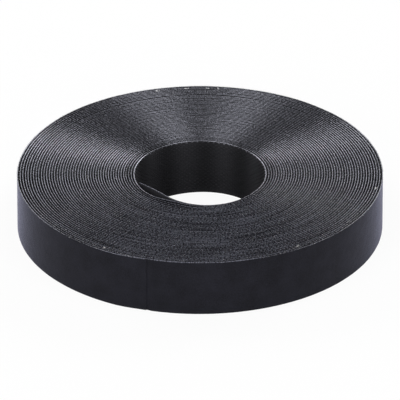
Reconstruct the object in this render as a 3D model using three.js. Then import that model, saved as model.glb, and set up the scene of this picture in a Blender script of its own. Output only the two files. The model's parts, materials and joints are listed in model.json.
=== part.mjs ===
// Hook and loop tape roll: back-to-back tape wound on itself without a core, lying flat.
// Millimetres, +Z up. The origin is on the roll's axis, on the surface that the roll lies on.
// The tape is two plies bonded together: loop fabric on the outer face, hook film on the inner face.
// The real roll has about 46 turns. They are drawn as half as many loops, so a ply is drawn twice as thick.

import * as THREE from 'three';

// Driving dimensions

const tapeWidth = 25; // the roll's height as it lies
const holeRadius = 27.75; // to the hook film's bare face, at the inner end
const hookFilm = 0.6; // thickness of the film that carries the hooks
const bondLine = 0.05; // adhesive between the plies
const loopPly = 0.65; // thickness of the loop fabric
const hookHeight = 0.94; // hooks and loops between one turn's fabric and the next turn's film

const wholeLoops = 22;
const innerEndAngle = THREE.MathUtils.degToRad(197); // both seen from above, from +X
const outerEndAngle = THREE.MathUtils.degToRad(252.8);

const tailSpan = THREE.MathUtils.degToRad(66); // the inner end stands off the hole's wall over this angle
const tailTipLift = 1.0; // how far it stands off at its tip
const tailBow = 3.3; // how much further it bows between its tip and the wall

const linkCount = 6; // the free outer end bends at this many hinges
const linkLength = 9.2;
const linkGap = 0.3; // between one link and the next

const stepsPerLoop = 24;
const stepsPerLink = 2;

// Derived sizes

const tapeThickness = hookFilm + bondLine + loopPly;
const pitch = tapeThickness + hookHeight;
const fullTurn = THREE.MathUtils.degToRad(360);
const step = fullTurn / stepsPerLoop;
const windingEnd = wholeLoops * fullTurn + outerEndAngle - innerEndAngle;
const outerRadius = holeRadius + (pitch * windingEnd) / fullTurn + tapeThickness;
const linkAngle = linkLength / outerRadius;
const halfGapAngle = linkGap / 2 / outerRadius;
const freeEndStart = windingEnd - linkCount * linkAngle;

// Where each ply lies, from the film's bare face outwards
const hookPlace = { from: 0, to: hookFilm };
const loopPlace = { from: hookFilm + bondLine, to: tapeThickness };

const fabricMaterial = new THREE.MeshStandardMaterial({ color: 0x26262c, roughness: 0.95, metalness: 0 });
const filmMaterial = new THREE.MeshStandardMaterial({ color: 0x323238, roughness: 0.5, metalness: 0 });

// The spiral that the tape follows. Its angle is counted from the inner end's tip, anticlockwise from above.

function tailLift(angle) {
  const along = Math.min(angle / tailSpan, 1) * Math.PI;
  return (tailTipLift * (1 + Math.cos(along))) / 2 + tailBow * Math.sin(along) ** 2;
}

function tapePoint(angle, offset) {
  const radius = holeRadius + (pitch * angle) / fullTurn - tailLift(angle) + offset;
  const seenFromAbove = innerEndAngle + angle;
  return new THREE.Vector2(radius * Math.cos(seenFromAbove), radius * Math.sin(seenFromAbove));
}

// Whole steps counted from the inner end, so that every loop has its corners at the same angles
function windingAngles(end) {
  const angles = [];
  const shortestStep = step / 10;
  for (let k = 0; k * step < end - shortestStep; k += 1) {
    angles.push(k * step);
  }
  angles.push(end);
  return angles;
}

function evenAngles(start, end, steps) {
  return Array.from({ length: steps + 1 }, (_, k) => start + ((end - start) * k) / steps);
}

// One ply over a run of angles: an unbroken strip of four-sided section, closed at both ends
function stripGeometry(angles, place) {
  const positions = [];
  for (const angle of angles) {
    const inner = tapePoint(angle, place.from);
    const outer = tapePoint(angle, place.to);
    positions.push(inner.x, inner.y, 0, outer.x, outer.y, 0);
    positions.push(outer.x, outer.y, tapeWidth, inner.x, inner.y, tapeWidth);
  }
  const cornerCount = 4;
  const triangles = [0, 1, 2, 0, 2, 3];
  for (let section = 0; section < angles.length - 1; section += 1) {
    for (let corner = 0; corner < cornerCount; corner += 1) {
      const here = section * cornerCount + corner;
      const beside = section * cornerCount + ((corner + 1) % cornerCount);
      triangles.push(here, here + cornerCount, beside, beside, here + cornerCount, beside + cornerCount);
    }
  }
  const last = (angles.length - 1) * cornerCount;
  triangles.push(last, last + 2, last + 1, last, last + 3, last + 2);
  const geometry = new THREE.BufferGeometry();
  geometry.setAttribute('position', new THREE.Float32BufferAttribute(positions, 3));
  geometry.setIndex(triangles);
  const faceted = geometry.toNonIndexed();
  faceted.computeVertexNormals();
  return faceted;
}

function stripMesh(name, angles, place, material) {
  const mesh = new THREE.Mesh(stripGeometry(angles, place), material);
  mesh.name = name;
  return mesh;
}

// The wound tape

function makeWinding() {
  const winding = new THREE.Group();
  const angles = windingAngles(freeEndStart - halfGapAngle);
  winding.add(stripMesh('hook_film', angles, hookPlace, filmMaterial));
  winding.add(stripMesh('loop_fabric', angles, loopPlace, fabricMaterial));
  return winding;
}

// The free outer end. Each link hangs in the one before it, turns about an upright line on the tape's outer face,
// and peels off the roll when its group turns clockwise seen from above.

function makeLink(number, hinge) {
  const start = freeEndStart + (number - 1) * linkAngle + halfGapAngle;
  const reach = number === linkCount ? linkAngle - halfGapAngle : linkAngle - 2 * halfGapAngle;
  const angles = evenAngles(start, start + reach, stepsPerLink);
  const link = new THREE.Group();
  link.add(stripMesh(`hook_end_${number}`, angles, hookPlace, filmMaterial));
  link.add(stripMesh(`loop_end_${number}`, angles, loopPlace, fabricMaterial));
  for (const mesh of link.children) {
    mesh.geometry.translate(-hinge.x, -hinge.y, 0);
  }
  return link;
}

function addFreeEnd(winding) {
  let carrier = winding;
  let carrierHinge = new THREE.Vector2();
  for (let number = 1; number <= linkCount; number += 1) {
    const hinge = tapePoint(freeEndStart + (number - 1) * linkAngle, tapeThickness);
    const link = makeLink(number, hinge);
    link.position.set(hinge.x - carrierHinge.x, hinge.y - carrierHinge.y, 0);
    carrier.add(link);
    console.log(`hinge ${number} at x ${hinge.x.toFixed(3)} y ${hinge.y.toFixed(3)} mm`);
    carrier = link;
    carrierHinge = hinge;
  }
}

// The least gap between the tape's turns, from points on each turn's outer face to the next turn's inner face

function distanceToSegment(point, start, end) {
  const along = end.clone().sub(start);
  const share = point.clone().sub(start).dot(along) / along.lengthSq();
  const nearest = start.clone().addScaledVector(along, THREE.MathUtils.clamp(share, 0, 1));
  return point.distanceTo(nearest);
}

function leastGap() {
  const angles = windingAngles(windingEnd);
  let least = Infinity;
  for (let outer = stepsPerLoop - 1; outer < angles.length - 1; outer += 1) {
    const start = tapePoint(angles[outer], 0);
    const end = tapePoint(angles[outer + 1], 0);
    const inner = outer - stepsPerLoop;
    for (let near = Math.max(inner - 1, 0); near <= inner + 2; near += 1) {
      const corner = tapePoint(angles[near], tapeThickness);
      const middle = corner.clone().lerp(tapePoint(angles[near + 1], tapeThickness), 1 / 2);
      least = Math.min(least, distanceToSegment(corner, start, end), distanceToSegment(middle, start, end));
    }
  }
  return least;
}

const roll = makeWinding();
addFreeEnd(roll);
console.log(`outer radius ${outerRadius.toFixed(2)} mm, pitch ${pitch.toFixed(2)} mm`);
console.log(`least gap between turns ${leastGap().toFixed(2)} mm`);

export default roll;
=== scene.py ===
import json
import math

import bpy
import numpy as np
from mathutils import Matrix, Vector


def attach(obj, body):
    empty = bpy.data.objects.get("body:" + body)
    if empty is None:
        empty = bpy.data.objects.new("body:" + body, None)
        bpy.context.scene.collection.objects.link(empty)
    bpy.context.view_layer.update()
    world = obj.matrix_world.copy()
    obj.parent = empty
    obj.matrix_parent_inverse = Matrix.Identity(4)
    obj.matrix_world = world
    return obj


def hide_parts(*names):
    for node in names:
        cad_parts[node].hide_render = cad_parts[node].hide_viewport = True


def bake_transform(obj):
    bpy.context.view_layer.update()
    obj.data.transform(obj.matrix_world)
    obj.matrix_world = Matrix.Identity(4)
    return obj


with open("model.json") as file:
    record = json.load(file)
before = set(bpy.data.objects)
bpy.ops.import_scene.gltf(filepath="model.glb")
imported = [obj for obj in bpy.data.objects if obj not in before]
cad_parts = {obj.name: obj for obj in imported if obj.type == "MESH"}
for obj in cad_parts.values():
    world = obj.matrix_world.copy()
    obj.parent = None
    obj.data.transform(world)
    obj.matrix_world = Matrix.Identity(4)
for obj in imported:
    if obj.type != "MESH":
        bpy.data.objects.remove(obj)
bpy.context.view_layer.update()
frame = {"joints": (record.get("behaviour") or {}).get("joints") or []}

# Driving sizes in millimetres, as on the real tape

MM = 0.001
tape_width = 25.0
film = 0.22  # thickness of the ply that carries the hooks
fabric = 0.11  # thickness of the loop ply, with the bond line between the plies
bond_line = 0.01
hole_radius = 27.75  # where the spiral starts, about at the film's hook side
outer_radius = 78.72
whole_turns = 46
inner_end = math.radians(197)  # both seen from above, from +X
outer_end = math.radians(252.8)
outer_looseness = 0.045  # how much wider than the mean the outermost turn is spaced, as a share
oval_depth = 0.35  # the hole is narrower by this from side to side, and wider from front to back
oval_turns = 6  # how quickly that fades towards the outside

# The tape's edges

edge_across = 0.21  # the film's fused upper edge slopes down to its hook side
edge_tilts = math.radians(10), math.radians(46)  # from level, where the slope starts and ends
edge_steps = 8
rim_across = 0.27  # the same round the hole, where the film is swollen
near_rim_across = 0.14  # and on the few turns behind that rim
near_rim_turns = 4
chamfer_across, chamfer_up = 0.1, 0.12  # the film's lower edge, on its hook side
at_top = -1e-6  # a height below 0 is counted down from the tape's upper edge
lower_round = (0.07, 0), (0.02, 0.06), (0, 0.2)  # the fabric's lower edge: in from its face, and height
upper_round = (0, -0.30), (0.01, -0.05), (0.04, at_top)

# The inner and the outer end

tail_span = math.radians(95)  # the inner end stands off the hole's wall over this angle
tail_tip_lift = 0.4
tail_bow = 3.55
tail_skew = 0.55  # below 1, the bow is nearer to the tip
dip_middle = math.radians(50)  # the turns round the inner end sag towards it, counted from its tip
dip_width = math.radians(20)
dip_depth = 2.4  # on the second turn
dip_turns = 7
dip_share = 0.6  # of one turn's sag on the next turn outside it
lean_middle = math.radians(112)  # the innermost turns lean in at the bottom, seen from above
lean_width = math.radians(30)
lean_depth = 1.05
lean_turns = 3  # how quickly that fades towards the outside
press_length = 15.0  # the outer end's tip is pressed down over this length
press_depth = 0.72
pile_height = 0.42  # the fabric's pile stands up past the pressed tip
pile_floor = 0.1  # share of that height that it has right beside the tip
pile_gap = 0.6  # it starts to rise here, rises over the next length, and lies down again over the last
pile_rise_length = 1.8
pile_fall_length = 70.0

# Unevenness: how large it is, and the angle in radians over which it changes

radius_wander = 0.04, 0.9
top_wander = 0.035, 2.3
top_ripple = 0.045, 0.08
bottom_wander = 0.04, 2.3
bottom_ripple = 0.02, 0.25
bottom_lift = 0.06  # mean height of the lower edge
low_place = 7.4  # turns in from the outer end, where the upper edge lies low
low_width = 1.1
low_depth = 0.12
felt_cell = 0.9  # lumps on the felted wall
felt_depth = 0.03
felt_columns = 40  # more than the tape's width needs
spare_cells = 4  # past the tape's end

# Hooks

hook_height = 0.58
hook_reach = 0.85  # length of a hook's head along the tape
hook_thickness = 0.28
hook_foot, hook_neck, hook_crown = 0.30, 0.17, 0.28  # half lengths along the tape
hook_sink = 0.02  # how deep its foot is in the film
neck_height, head_height = 0.20, 0.30
hook_clearance = 0.02  # from the turn inside it
least_hook = 0.15  # share of its height that it keeps where there is no room
least_rim_hook = 0.25  # the hooks on the rim are of uneven height, down to this share
hook_spacing = 2.36
hook_stagger = 0.25, 0.75  # where even and odd rows start, in spacings
row_count = 28
row_margin = 0.90
rim_margin = 0.50  # the uppermost hooks round the hole

# Loose fibres and lint

fibre_spacing = 3.6  # mean length of tape between fibres
near_wall_fibre_spacing = 1.0  # more are added on the turns just inside the outer wall
near_wall_turns = 2
wall_fibre_spacing = 0.4  # and on the wall's own turn
fibre_length = 0.7  # of the longest
near_wall_fibre_length = 0.6
fibre_shortest = 0.3  # share of the longest
fibre_thickness = 0.040
inner_fibre_thickness = 0.042
fibre_sides = 3
fibre_taper = 0.8  # thickness halfway along, as a share of the root's
fibre_bend = 0.5  # how far aside the tip may be, as a share of the length
fibre_inset = 0.01, 0.12  # the root, in from the fabric's face
fibre_drop = 0.03, 0.3  # and down from its upper edge
fibre_out = 0.1, 1.0  # the way it points: outwards, along the tape and up
fibre_along = 0.9
fibre_up = 0.1, 0.9
first_fibre = 0.1  # angle from the inner end's tip
lint_places = 104, 94.6, 88, 84.3, 237.8, 302.8, 350  # degrees seen from above
lint_turn = 2  # turns in from the outermost
lint_strands = 6
lint_spread = 0.50
lint_length = 1.4
lint_thickness = 0.11

# Mesh density

steps_per_turn = 240
length_steps = 60  # per turn, where lengths of tape are summed
wall_step = 0.8  # grid on the roll's outer wall
wall_margin = 0.2
seam_length, seam_step = 4, 0.2  # a finer grid just past the outer end's tip
sharp_angle = math.radians(32)

# Derived sizes

turn = 2 * math.pi
tape = film + fabric
tape_end = whole_turns * turn + outer_end - inner_end
turns = tape_end / turn
pitch = (outer_radius - tape - hole_radius) / turns
low_middle = tape_end - low_place * turn
hinges = [Vector(joint["pos_m"]) for joint in frame["joints"]]
hinge_angles = [tape_end - (outer_end - math.atan2(h.y, h.x)) % turn for h in hinges]
link_count = len(hinges)
link_angle = (tape_end - hinge_angles[0]) / link_count
bend_angles = [hinge_angles[0] - link_angle / 2] + [angle + link_angle / 2 for angle in hinge_angles]
free_end = bend_angles[0]
row_spacing = (tape_width - 2 * row_margin) / (row_count - 1)


# Smooth random wandering, the same in every run

def ease(share):
    return share * share * (3 - 2 * share)


def wander(angles, size, spacing, seed):
    knots = np.random.default_rng(seed).uniform(-1, 1, int(tape_end / spacing) + spare_cells)
    place = np.asarray(angles) / spacing
    low = np.floor(place).astype(int)
    share = ease(place - low)
    return size * (knots[low] * (1 - share) + knots[low + 1] * share)


# The spiral that the tape follows. Its angle is counted from the inner end's tip, anticlockwise from above.

def tail_lift(angles):
    share = np.clip(angles / tail_span, 0, 1)
    return tail_tip_lift * (1 - share) + tail_bow * np.sin(share ** tail_skew * math.pi) ** 2


def tip_press(angles):
    return press_depth * ease(np.clip(1 - (tape_end - angles) * outer_radius / press_length, 0, 1))


def sag(angles):
    depth = 0
    for number in range(1, dip_turns + 1):
        middle = number * turn + dip_middle
        depth = depth + dip_share ** (number - 1) * np.exp(-((angles - middle) / dip_width) ** 2)
    return dip_depth * depth


def lean(angles, heights):
    away = (inner_end + angles - lean_middle + math.pi) % turn - math.pi
    fading = np.exp(-angles / turn / lean_turns)
    return lean_depth * np.exp(-(away / lean_width) ** 2) * fading * (1 - heights / tape_width)


def tape_radius(angles):
    angles = np.asarray(angles, float)
    count = angles / turn
    radius = hole_radius + pitch * count * (1 + outer_looseness * (count / turns - 1))
    oval = -oval_depth * np.cos(2 * (inner_end + angles)) * np.exp(-count / oval_turns)
    lifts = tail_lift(angles) + sag(angles) + tip_press(angles)
    return radius + oval - lifts + wander(angles, *radius_wander, seed=11)


def tape_length(angles):
    return hole_radius * angles + pitch * angles ** 2 / (2 * turn)


def top_height(angles):
    low = np.exp(-((np.asarray(angles) - low_middle) / low_width) ** 2)
    uneven = tape_width + wander(angles, *top_wander, seed=21) + wander(angles, *top_ripple, seed=22)
    return uneven - low_depth * low


def bottom_height(angles):
    return bottom_lift + wander(angles, *bottom_wander, seed=31) + wander(angles, *bottom_ripple, seed=32)


def directions(angles):
    seen = inner_end + np.asarray(angles)
    radial = np.stack([np.cos(seen), np.sin(seen), np.zeros_like(seen)], -1)
    tangent = np.stack([-np.sin(seen), np.cos(seen), np.zeros_like(seen)], -1)
    return radial, tangent


# Meshes

def new_piece(name, vertices, faces, materials):
    mesh = bpy.data.meshes.new(name)
    mesh.from_pydata(np.asarray(vertices).reshape(-1, 3) * MM, [], faces)
    mesh.shade_smooth()
    mesh.set_sharp_from_angle(angle=sharp_angle)
    for material in materials:
        mesh.materials.append(material)
    mesh.update()
    piece = bpy.data.objects.new(name, mesh)
    bpy.context.scene.collection.objects.link(piece)
    return piece


def add_tape_map(piece, along, across):
    layer = piece.data.uv_layers.new(name="tape")
    corners = np.empty(len(piece.data.loops), int)
    piece.data.loops.foreach_get("vertex_index", corners)
    values = np.stack([along.ravel()[corners], across.ravel()[corners]], -1)
    layer.data.foreach_set("uv", values.astype(np.float32).ravel())


def ring_faces(rows, columns):
    row, column = np.meshgrid(np.arange(rows - 1), np.arange(columns), indexing="ij")
    here = row * columns + column
    beside = row * columns + (column + 1) % columns
    sides = np.stack([here, here + columns, beside + columns, beside], -1).reshape(-1, 4).tolist()
    first = list(range(columns))
    last = [(rows - 1) * columns + k for k in reversed(range(columns))]
    return sides + [first, last]


# One ply over a run of angles. Its section is a closed ring of points: the offset outwards from the spiral,
# and the height. A second material goes on the faces along the upper edge.

def strip(name, angles, section, materials, relief=None):
    angles = np.asarray(angles)
    offsets, heights = np.array(section).T
    top = top_height(angles)[:, None]
    bottom = bottom_height(angles)[:, None]
    height = np.where(heights < 0, top, bottom) + heights
    radius = tape_radius(angles)[:, None] + offsets - lean(angles[:, None], height)
    along = np.broadcast_to(tape_length(angles)[:, None], height.shape)
    if relief is not None:
        radius = radius + relief(along, height) * (offsets > film + bond_line)
    radial, _ = directions(angles)
    points = radial[:, None, :] * radius[..., None]
    points[..., 2] = height
    piece = new_piece(name, points, ring_faces(len(angles), len(section)), materials)
    if len(materials) > 1:
        on_edge = (heights < 0) & (np.roll(heights, -1) < 0)
        end_faces = [0, 0]
        marks = np.tile(on_edge, len(angles) - 1).astype(int).tolist() + end_faces
        piece.data.polygons.foreach_set("material_index", marks)
    add_tape_map(piece, along, height + tape_width - top)
    return piece


def even_steps(start, end, step):
    count = max(2, math.ceil((end - start) / step))
    return np.linspace(start, end, count + 1)


def edge_drop(across, share):
    first, last = edge_tilts
    steepening = math.log(math.cos(first) / math.cos(first + (last - first) * share))
    return across * steepening / (last - first)


def film_section(across):
    bare = film - across
    shares = [k / edge_steps for k in range(edge_steps + 1)]
    slope = [(bare + across * (1 - share), at_top - edge_drop(across, share)) for share in shares]
    return [(bare, chamfer_up), (bare + chamfer_across, 0), (film, 0)] + slope


def fabric_section(wall=()):
    outer_face = [(tape - inwards, height) for inwards, height in (*lower_round, *wall, *upper_round)]
    return [(film + bond_line, 0)] + outer_face + [(film + bond_line, at_top)]


def wall_section():
    rungs = even_steps(wall_margin, tape_width - wall_margin, wall_step)[1:-1]
    rising = [(0, z) for z in rungs if z < tape_width / 2]
    hanging = [(0, z - tape_width) for z in rungs if z >= tape_width / 2]
    return fabric_section(rising + hanging)


# The felted outer wall. Its pile stands up again just past the pressed end.

felt_rows = int(tape_length(tape_end) / felt_cell) + spare_cells
felt_table = np.random.default_rng(41).uniform(-1, 1, (felt_rows, felt_columns))


def pile_rise(along):
    past = along - tape_length(tape_end - turn)
    rise = ease(np.clip((past - pile_gap) / pile_rise_length, 0, 1))
    fall = np.clip(past / pile_fall_length, 0, 1)
    return pile_height * (past > 0) * (pile_floor + (1 - pile_floor) * rise) * (1 - fall) ** 2


def felt(along, height):
    u, v = along / felt_cell, np.maximum(height, 0) / felt_cell
    i, j = np.floor(u).astype(int), np.floor(v).astype(int)
    a, b = u - i, v - j
    low = felt_table[i, j] * (1 - b) + felt_table[i, j + 1] * b
    high = felt_table[i + 1, j] * (1 - b) + felt_table[i + 1, j + 1] * b
    return felt_depth * (low * (1 - a) + high * a) + pile_rise(along)


# Hooks: a stem that widens into a head, its profile along the tape

half_profile = [
    (hook_foot, -hook_sink),
    (hook_neck, neck_height),
    (hook_reach / 2, head_height),
    (hook_crown, hook_height),
]
hook_profile = np.array([(-reach, depth) for reach, depth in half_profile] + half_profile[::-1])


def hooks(name, angles, heights, material, least=1):
    radial, tangent = directions(angles)
    radius = tape_radius(angles) - lean(angles, heights)
    before = np.maximum(angles - turn, 0)
    inside = tape_radius(before) - lean(before, heights) + tape
    room = np.where(angles > turn, radius - inside - hook_clearance, hook_height)
    uneven = np.random.default_rng(45).uniform(least, 1, len(angles))
    scale = np.clip(room / hook_height, least_hook, 1) * uneven
    base = radial * radius[:, None]
    base[:, 2] = heights
    reach, depth = hook_profile.T
    flat = (base[:, None, :] + tangent[:, None, :] * reach[:, None]
            - radial[:, None, :] * (depth * scale[:, None])[..., None])
    half = np.array([0, 0, hook_thickness / 2])
    points = np.concatenate([flat - half, flat + half], 1)
    count = len(hook_profile)
    last = count - 1
    around = [[k, (k + 1) % count, count + (k + 1) % count, count + k] for k in range(count)]
    lower = [[last, last - 1, 1, 0], list(range(last - 1, 0, -1))]
    upper = [[count + k for k in reversed(face)] for face in lower]
    one = around + lower + upper
    faces = [[2 * count * n + k for k in face] for n in range(len(angles)) for face in one]
    piece = new_piece(name, points, faces, [material])
    add_tape_map(piece, np.repeat(tape_length(angles), 2 * count), points[..., 2])
    return piece


def hook_places(start, end, rows, raised=0):
    angles, heights = [], []
    for row in rows:
        angle = start + hook_stagger[row % 2] * hook_spacing / tape_radius(start)
        while angle < end:
            angles.append(angle)
            heights.append(row_margin + row * row_spacing + raised)
            angle += hook_spacing / float(tape_radius(angle))
    return np.array(angles), np.array(heights)


# Loose fibres on the fabric's cut edges: thin tapered tubes with a bend

def fibres(name, roots, way, lengths, thickness, material, seed):
    rng = np.random.default_rng(seed)
    way = way / np.linalg.norm(way, axis=1, keepdims=True)
    side = np.cross(way, rng.normal(size=way.shape))
    side /= np.linalg.norm(side, axis=1, keepdims=True)
    other = np.cross(way, side)
    bend = side * rng.uniform(-fibre_bend, fibre_bend, (len(roots), 1))
    middle = roots + way * lengths[:, None] / 2
    tip = roots + (way + bend) * lengths[:, None]
    round_angles = [k * turn / fibre_sides for k in range(fibre_sides)]
    corners = [side * math.cos(a) + other * math.sin(a) for a in round_angles]
    root_ring = [roots + corner * thickness for corner in corners]
    middle_ring = [middle + corner * thickness * fibre_taper for corner in corners]
    points = np.stack(root_ring + middle_ring + [tip], 1)
    tip_place = 2 * fibre_sides
    pairs = [(k, (k + 1) % fibre_sides) for k in range(fibre_sides)]
    one = [[k, after, fibre_sides + after, fibre_sides + k] for k, after in pairs]
    one += [[fibre_sides + k, fibre_sides + after, tip_place] for k, after in pairs]
    one += [list(reversed(range(fibre_sides)))]
    faces = [[(tip_place + 1) * n + k for k in face] for n in range(len(roots)) for face in one]
    return new_piece(name, points, faces, [material])


def spread_angles(start, end, spacing, seed):
    rng = np.random.default_rng(seed)
    grid = even_steps(start, end, turn / length_steps)
    middles = (grid[1:] + grid[:-1]) / 2
    lengths = np.concatenate([[0], np.cumsum(np.diff(grid) * tape_radius(middles))])
    count = int(lengths[-1] / spacing)
    return np.interp(np.sort(rng.uniform(0, lengths[-1], count)), lengths, grid)


def lint_angles(seed):
    rng = np.random.default_rng(seed)
    turn_end = tape_end - lint_turn * turn
    angles = [turn_end - (outer_end - math.radians(seen)) % turn for seen in lint_places]
    strands = np.repeat(angles, lint_strands)
    return strands + rng.normal(0, lint_spread / outer_radius, len(strands))


def edge_fibres(name, angles, material, seed, longest=fibre_length, thickness=fibre_thickness):
    rng = np.random.default_rng(seed)
    count = len(angles)
    radial, tangent = directions(angles)
    roots = radial * (tape_radius(angles) + tape - rng.uniform(*fibre_inset, count))[:, None]
    roots[:, 2] = top_height(angles) - rng.uniform(*fibre_drop, count)
    up = np.array([0, 0, 1.0])
    way = (radial * rng.uniform(*fibre_out, (count, 1)) + tangent * rng.normal(0, fibre_along, (count, 1))
           + up * rng.uniform(*fibre_up, (count, 1)))
    lengths = rng.uniform(fibre_shortest * longest, longest, count)
    return fibres(name, roots, way, lengths, thickness, material, seed + 1)


# Shader nodes

def new_material(name):
    material = bpy.data.materials.new(name)
    material.use_nodes = True
    tree = material.node_tree
    return material, tree, tree.nodes["Principled BSDF"]


def set_inputs(node, values):
    for key, value in values.items():
        node.inputs[key].default_value = value


def add_node(tree, kind, inputs=None, **settings):
    node = tree.nodes.new(kind)
    for key, value in settings.items():
        setattr(node, key, value)
    set_inputs(node, inputs or {})
    return node


def along_tape(tree):
    place = add_node(tree, "ShaderNodeUVMap", uv_map="tape")
    split = add_node(tree, "ShaderNodeSeparateXYZ")
    tree.links.new(place.outputs["UV"], split.inputs["Vector"])
    return split.outputs["X"], split.outputs["Y"]


def noise(tree, scale, detail):
    place = add_node(tree, "ShaderNodeTexCoord")
    node = add_node(tree, "ShaderNodeTexNoise", {"Scale": scale, "Detail": detail})
    tree.links.new(place.outputs["Object"], node.inputs["Vector"])
    return node.outputs["Fac"]


def band_noise(tree, length, detail=1.0):
    along, _ = along_tape(tree)
    inputs = {"Scale": 1 / length, "Detail": detail}
    node = add_node(tree, "ShaderNodeTexNoise", inputs, noise_dimensions="1D")
    tree.links.new(along, node.inputs["W"])
    return node.outputs["Fac"]


def band_wave(tree, length, start):
    along, _ = along_tape(tree)
    past = add_node(tree, "ShaderNodeMath", {1: start}, operation="SUBTRACT")
    phase = add_node(tree, "ShaderNodeMath", {1: math.pi / length}, operation="MULTIPLY")
    swing = add_node(tree, "ShaderNodeMath", operation="SINE")
    share = add_node(tree, "ShaderNodeMath", {1: 2.0}, operation="POWER")
    value = along
    for node in (past, phase, swing, share):
        tree.links.new(value, node.inputs[0])
        value = node.outputs["Value"]
    return value


def ramp(tree, factor, first, last, low, high):
    node = add_node(tree, "ShaderNodeValToRGB")
    for element, place, colour in zip(node.color_ramp.elements, (low, high), (first, last)):
        element.position = place
        element.color = (*colour, 1)
    tree.links.new(factor, node.inputs["Fac"])
    return node.outputs["Color"]


def spread(tree, value, low, high):
    node = add_node(tree, "ShaderNodeMapRange", {"From Min": low, "From Max": high})
    tree.links.new(value, node.inputs["Value"])
    return node.outputs["Result"]


def height_share(tree, low, high):
    _, height = along_tape(tree)
    return spread(tree, height, low, high)


def upward_share(tree, low, high):
    geometry = add_node(tree, "ShaderNodeNewGeometry")
    split = add_node(tree, "ShaderNodeSeparateXYZ")
    tree.links.new(geometry.outputs["Normal"], split.inputs["Vector"])
    return spread(tree, split.outputs["Z"], low, high)


# A mix node has sockets of the same name for each kind of value, so they are taken by their place
mix_numbers = 2, 3
mix_tints = 6, 7


def mix_values(tree, share, first, second):
    node = add_node(tree, "ShaderNodeMix", {0: share}, data_type="FLOAT")
    for value, place in zip((first, second), mix_numbers):
        tree.links.new(value, node.inputs[place])
    return node.outputs[0]


def mix_colours(tree, factor, first, second):
    node = add_node(tree, "ShaderNodeMix", data_type="RGBA")
    tree.links.new(factor, node.inputs["Factor"])
    for colour, place in zip((first, second), mix_tints):
        tree.links.new(colour, node.inputs[place])
    return node.outputs[2]


def bump(tree, shader, height, strength, distance):
    node = add_node(tree, "ShaderNodeBump", {"Strength": strength, "Distance": distance})
    tree.links.new(height, node.inputs["Height"])
    tree.links.new(node.outputs["Normal"], shader.inputs["Normal"])


# Materials. Bands are in millimetres along the tape, and ranges are where a ramp starts and ends.

painted_reflection_band = 17.0  # painted reflection: soft light bands across the film and its hooks, standing in for the lamps' reflections on the hole's wall
painted_reflection_start = 105.5  # the middle of a dark one
sparkle_band = 0.7  # bright specks along the film's fused edge
sparkle_range = 0.48, 0.70
edge_band = 1.5  # unevenness along the film's fused edge
edge_range = 0.40, 0.60
edge_roughness = 0.24, 0.34
fringe_band = 0.8  # tufts along the fabric's frayed edge
streak_band = 26.0  # and longer streaks
streak_share = 0.36
tuft_range = 0.40, 0.63
blotch_share = 0.4  # of large blotches in the fabric's fine pile
pile_range = 0.35, 0.65
fringe_shade = 0.2  # the dark of a fringe, as a share of its light
fringe_heights = 24.85, 24.95  # between which the fabric's face turns into its frayed edge
cut_slopes = 0.02, 0.12  # upward parts of the normal, between which its cut edge starts
cut_dark, cut_light = (0.014, 0.014, 0.018), (0.155, 0.160, 0.200)
fibre_range = 0.3, 0.7


def make_fabric(name, sheen, face_dark, face_light, fringe_light):
    material, tree, shader = new_material(name)
    tufts = mix_values(tree, streak_share, band_noise(tree, fringe_band), band_noise(tree, streak_band))
    pile = mix_values(tree, blotch_share, noise(tree, scale=2600, detail=3), noise(tree, scale=120, detail=3))
    fringe_dark = [fringe_shade * part for part in fringe_light]
    face = ramp(tree, pile, face_dark, face_light, *pile_range)
    fringe = ramp(tree, tufts, fringe_dark, fringe_light, *tuft_range)
    cut = ramp(tree, tufts, cut_dark, cut_light, *tuft_range)
    side = mix_colours(tree, height_share(tree, *fringe_heights), face, fringe)
    colour = mix_colours(tree, upward_share(tree, *cut_slopes), side, cut)
    tree.links.new(colour, shader.inputs["Base Color"])
    set_inputs(shader, {
        "Roughness": 0.85,
        "Specular IOR Level": 0.18,
        "Sheen Weight": sheen,
        "Sheen Roughness": 0.3,
        "Sheen Tint": (0.73, 0.74, 1.0, 1.0),
    })
    bump(tree, shader, noise(tree, scale=3200, detail=2), strength=0.5, distance=0.0001)
    return material


def make_film(name, dark, light, roughness, gloss):
    material, tree, shader = new_material(name)
    # painted reflection: the colour swings from dark to light in bands along the tape, in place of the lamps'
    # reflections
    colour = ramp(tree, band_wave(tree, painted_reflection_band, painted_reflection_start), dark, light, low=0, high=1)
    tree.links.new(colour, shader.inputs["Base Color"])
    set_inputs(shader, {
        "Roughness": roughness,
        "Specular IOR Level": gloss,
        "IOR": 1.5,
        "Specular Tint": (0.90, 0.91, 1.0, 1.0),
    })
    bump(tree, shader, noise(tree, scale=2400, detail=2), strength=0.1, distance=0.00005)
    return material


def make_edge(name, dark, light):
    material, tree, shader = new_material(name)
    uneven = band_noise(tree, edge_band)
    smooth, rough = ([value] * 3 for value in edge_roughness)
    colour = ramp(tree, band_noise(tree, sparkle_band, detail=0.0), dark, light, *sparkle_range)
    roughness = ramp(tree, uneven, smooth, rough, *edge_range)
    tree.links.new(colour, shader.inputs["Base Color"])
    tree.links.new(roughness, shader.inputs["Roughness"])
    set_inputs(shader, {
        "Specular IOR Level": 1.0,
        "IOR": 1.98,
        "Specular Tint": (0.86, 0.87, 1.0, 1.0),
    })
    bump(tree, shader, uneven, strength=1.0, distance=0.00008)
    return material


def make_fibre(name, dark, light):
    material, tree, shader = new_material(name)
    colour = ramp(tree, noise(tree, scale=900, detail=1), dark, light, *fibre_range)
    tree.links.new(colour, shader.inputs["Base Color"])
    set_inputs(shader, {"Roughness": 0.7})
    return material


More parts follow.
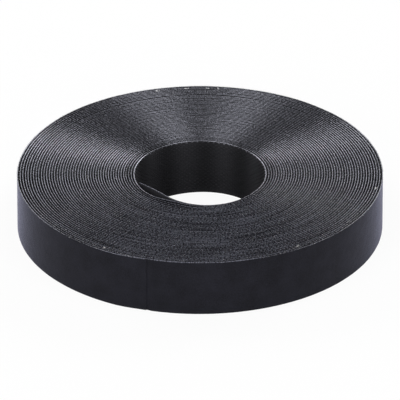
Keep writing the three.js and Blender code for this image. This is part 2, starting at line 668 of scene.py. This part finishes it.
fabric_material = make_fabric(
    "brushed_loop_fabric", sheen=0.51,
    face_dark=(0.005, 0.005, 0.0075), face_light=(0.014, 0.0142, 0.021), fringe_light=(0.15, 0.15, 0.17),
)
# painted light: the wound turns' frayed edge is much lighter than the outer wall's, making up for the shade
# the turns cast on each other's edges
pressed_material = make_fabric(
    "pressed_loop_fabric", sheen=0.0,
    face_dark=(0.007, 0.007, 0.009), face_light=(0.019, 0.019, 0.024), fringe_light=(0.34, 0.35, 0.43),
)
# painted light: the inner end's fabric is a lighter copy of the wound fabric, so its face does not sink into
# the shade between it and the next turn
inner_end_painted_light_material = make_fabric(
    "inner_end_loop_fabric_painted_light", sheen=0.0,
    face_dark=(0.022, 0.022, 0.026), face_light=(0.046, 0.046, 0.052), fringe_light=(0.10, 0.10, 0.12),
)
edge_material = make_edge("fused_film_edge", dark=(0.010, 0.010, 0.013), light=(0.085, 0.085, 0.10))
film_material = make_film(
    "hook_film", dark=(0.020, 0.020, 0.022), light=(0.035, 0.035, 0.039), roughness=0.6, gloss=0.06,
)
hook_material = make_film(
    "moulded_hooks", dark=(0.021, 0.021, 0.0235), light=(0.037, 0.037, 0.041), roughness=0.6, gloss=0.06,
)
# painted highlight: the hooks and fused edge round the hole are lighter copies of the hook and edge finishes,
# for the bright line along the hole's rim
rim_hook_painted_highlight_material = make_film(
    "moulded_rim_hooks_painted_highlight", dark=(0.05, 0.05, 0.058), light=(0.10, 0.10, 0.115), roughness=0.5, gloss=0.3,
)
rim_edge_painted_highlight_material = make_edge("fused_rim_edge_painted_highlight", dark=(0.04, 0.04, 0.047), light=(0.15, 0.15, 0.17))
film_materials = [film_material, edge_material]
rim_materials = [film_material, rim_edge_painted_highlight_material]
fibre_material = make_fibre("loose_fibre", dark=(0.10, 0.10, 0.12), light=(0.80, 0.80, 0.82))
lint_material = make_fibre("white_lint", dark=(0.70, 0.70, 0.70), light=(0.85, 0.85, 0.85))

# The wound tape

step = turn / steps_per_turn
wall_angle = wall_step / outer_radius
wall_start = free_end - turn
rim_end = turn + tail_span
near_rim_end = near_rim_turns * turn
middle_turn = whole_turns // 2 * turn

film_turns = [
    strip(name, even_steps(start, end, step), film_section(across), materials)
    for name, start, end, across, materials in (
        ("film_rim_turn", 0, rim_end, rim_across, rim_materials),
        ("film_near_rim_turns", rim_end, near_rim_end, near_rim_across, film_materials),
        ("film_inner_turns", near_rim_end, middle_turn, edge_across, film_materials),
        ("film_outer_turns", middle_turn, free_end, edge_across, film_materials),
    )
]
loop_inner_end, loop_winding = [
    strip(name, even_steps(start, end, step), fabric_section(), [material])
    for name, start, end, material in (
        ("loop_inner_end", 0, tail_span, inner_end_painted_light_material),
        ("loop_winding", tail_span, wall_start, pressed_material),
    )
]
seam_angles = tape_end - turn + np.arange(0, seam_length, seam_step) / outer_radius
outer_angles = np.union1d(even_steps(wall_start, free_end, wall_angle), seam_angles)
outer_turn = strip(
    "loop_outer_turn", outer_angles, wall_section(), [fabric_material], felt,
)
for piece in film_turns:
    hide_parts("hook_film")
for piece in (loop_inner_end, loop_winding, outer_turn):
    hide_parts("loop_fabric")

top_row = row_count - 1
rim_places = hook_places(0, rim_end, [top_row], raised=row_margin - rim_margin)
rim_hooks = hooks("hooks_rim", *rim_places, rim_hook_painted_highlight_material, least_rim_hook)
upper_hooks = hooks("hooks_upper", *hook_places(rim_end, free_end, [top_row]), hook_material)
lower_hooks = hooks("hooks_lower", *hook_places(turn, free_end, [0]), hook_material)
hole_hooks = hooks("hooks_hole", *hook_places(0, rim_end, range(1, top_row)), hook_material)

edge_fuzz = edge_fibres(
    "edge_fibres", spread_angles(first_fibre, free_end, fibre_spacing, seed=50), fibre_material, seed=51,
    thickness=inner_fibre_thickness,
)
near_wall_start = wall_start - near_wall_turns * turn
near_wall_fuzz = edge_fibres(
    "near_rim_fibres", spread_angles(near_wall_start, wall_start, near_wall_fibre_spacing, seed=80),
    fibre_material, seed=81, longest=near_wall_fibre_length,
)
wall_fuzz = edge_fibres(
    "rim_fibres", spread_angles(wall_start, free_end, wall_fibre_spacing, seed=53), fibre_material, seed=54,
)
lint = edge_fibres(
    "lint", lint_angles(seed=56), lint_material, seed=57, longest=lint_length, thickness=lint_thickness,
)

for piece in (*film_turns, loop_inner_end, loop_winding, outer_turn):
    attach(piece, "winding")
for piece in (rim_hooks, upper_hooks, lower_hooks, hole_hooks, edge_fuzz, near_wall_fuzz, wall_fuzz, lint):
    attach(piece, "winding")

# The free outer end: a stretch of tape round each hinge, from the middle of a link to the middle of the next

film_nodes = ["hook_film"] + [f"hook_end_{k + 1}" for k in range(link_count)]
loop_nodes = ["loop_fabric"] + [f"loop_end_{k + 1}" for k in range(link_count)]


def outer_point(angle):
    radial, _ = directions(angle)
    point = Vector(radial * (tape_radius(angle) + tape) * MM)
    point.z = hinges[0].z
    return point


for k in range(link_count):
    number = k + 1
    start, bend_end = bend_angles[k], bend_angles[number]
    end = tape_end if number == link_count else bend_end
    angles = even_steps(start, end, wall_angle)
    link_film = strip(f"film_end_{number}", angles, film_section(edge_across), film_materials)
    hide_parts(film_nodes[k], film_nodes[number])
    link_loops = strip(f"loops_end_{number}", angles, wall_section(), [fabric_material], felt)
    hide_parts(loop_nodes[k], loop_nodes[number])
    link_hooks = hooks(f"hooks_end_{number}", *hook_places(start, end, range(row_count)), hook_material)
    fibre_angles = spread_angles(start, end, wall_fibre_spacing, seed=60 + number)
    link_fuzz = edge_fibres(f"fibres_end_{number}", fibre_angles, fibre_material, seed=70 + number)
    for piece in (link_film, link_loops, link_hooks, link_fuzz):
        outer_point(start)
        outer_point(bend_end)
        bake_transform(piece)

# Floor and light, in metres

floor_half = 30.0
floor_grey = 0.9
glow_share = 0.92  # how much of the floor is plain white where the camera or a reflection sees it
light_distance = 6.0
sky_low, sky_high = (1, 1, 1), (0.12, 0.12, 0.12)  # the world's colour at the horizon and overhead
sky_range = 0.28, 0.42


def make_floor():
    mesh = bpy.data.meshes.new("floor")
    corners = [(x * floor_half, y * floor_half, 0) for x, y in ((-1, -1), (1, -1), (1, 1), (-1, 1))]
    mesh.from_pydata(corners, [], [range(len(corners))])
    floor = bpy.data.objects.new("floor", mesh)
    bpy.context.scene.collection.objects.link(floor)
    material = bpy.data.materials.new("white_floor")
    material.use_nodes = True
    tree = material.node_tree
    tree.nodes.clear()
    output = add_node(tree, "ShaderNodeOutputMaterial")
    paper = add_node(tree, "ShaderNodeBsdfDiffuse", {"Color": (floor_grey, floor_grey, floor_grey, 1)})
    glow = add_node(tree, "ShaderNodeEmission", {"Color": (1, 1, 1, 1), "Strength": 1.0})
    path = add_node(tree, "ShaderNodeLightPath")
    seen = add_node(tree, "ShaderNodeMath", operation="MAXIMUM")
    seen_through = add_node(tree, "ShaderNodeMath", operation="MAXIMUM")
    share = add_node(tree, "ShaderNodeMath", {1: glow_share}, operation="MULTIPLY")
    mix = add_node(tree, "ShaderNodeMixShader")
    tree.links.new(path.outputs["Is Camera Ray"], seen.inputs[0])
    tree.links.new(path.outputs["Is Glossy Ray"], seen.inputs[1])
    tree.links.new(seen.outputs["Value"], seen_through.inputs[0])
    tree.links.new(path.outputs["Is Transmission Ray"], seen_through.inputs[1])
    tree.links.new(seen_through.outputs["Value"], share.inputs[0])
    tree.links.new(share.outputs["Value"], mix.inputs["Fac"])
    tree.links.new(paper.outputs["BSDF"], mix.inputs[1])
    tree.links.new(glow.outputs["Emission"], mix.inputs[2])
    tree.links.new(mix.outputs["Shader"], output.inputs["Surface"])
    mesh.materials.append(material)


make_floor()


# A light aimed at the roll. Its place, width and height are in degrees: around is counted from the camera.

def add_light(name, around, up, radiance, width, height, shape="ELLIPSE"):
    bearing = math.radians(around - 90)  # the camera stands towards -Y
    elevation = math.radians(up)
    light = bpy.data.lights.new(name, "AREA")
    light.shape = shape
    light.size = 2 * light_distance * math.tan(math.radians(width / 2))
    light.size_y = 2 * light_distance * math.tan(math.radians(height / 2))
    fill = math.pi / 4 if shape == "ELLIPSE" else 1
    light.energy = radiance * math.pi * fill * light.size * light.size_y
    lamp = bpy.data.objects.new(name, light)
    level = math.cos(elevation)
    way = Vector((level * math.cos(bearing), level * math.sin(bearing), math.sin(elevation)))
    lamp.location = light_distance * way
    lamp.rotation_euler = way.to_track_quat("Z", "Y").to_euler()
    bpy.context.scene.collection.objects.link(lamp)


add_light("front", around=-15, up=25, radiance=2.2, width=62, height=30)
add_light("high_left", around=-62, up=68, radiance=3.8, width=26, height=28)
add_light("high_right", around=62, up=68, radiance=3.8, width=26, height=28)
add_light("back_left", around=-128, up=30, radiance=6.0, width=33, height=20)
add_light("strip_left", around=-169, up=11, radiance=4.8, width=10, height=18, shape="RECTANGLE")
add_light("strip_far_left", around=-155, up=14, radiance=2.0, width=11, height=22, shape="RECTANGLE")
add_light("back_right", around=134, up=28, radiance=7.7, width=28, height=21)
add_light("strip_right", around=164, up=12, radiance=2.2, width=22, height=20, shape="RECTANGLE")

world = bpy.data.worlds.new("studio")
world.use_nodes = True
sky = world.node_tree
place = add_node(sky, "ShaderNodeTexCoord")
split = add_node(sky, "ShaderNodeSeparateXYZ")
sky.links.new(place.outputs["Generated"], split.inputs["Vector"])
shade = ramp(sky, split.outputs["Z"], sky_low, sky_high, *sky_range)
sky.links.new(shade, sky.nodes["Background"].inputs["Color"])
bpy.context.scene.world = world

# Camera: the roll's middle is a little right of and above the picture's middle

camera_elevation = math.radians(29.07)
camera_distance = 4.443
focal_pixels = 10383.4
picture_pixels = 400
middle_right, middle_up = 0.66, 1.2  # pixels

camera_data = bpy.data.cameras.new("camera")
camera_data.sensor_width = 36
camera_data.lens = focal_pixels * camera_data.sensor_width / picture_pixels
camera_data.clip_end = 200
camera = bpy.data.objects.new("camera", camera_data)
bpy.context.scene.collection.objects.link(camera)
bpy.context.scene.camera = camera
pixel = camera_distance / focal_pixels
camera_right = Vector((1, 0, 0))
camera_up = Vector((0, math.sin(camera_elevation), math.cos(camera_elevation)))
towards = Vector((0, -math.cos(camera_elevation), math.sin(camera_elevation)))
aim = Vector((0, 0, tape_width / 2 * MM)) - pixel * (middle_right * camera_right + middle_up * camera_up)
camera.location = aim + camera_distance * towards
camera.rotation_euler = towards.to_track_quat("Z", "Y").to_euler()

bpy.context.scene.view_settings.view_transform = "Standard"
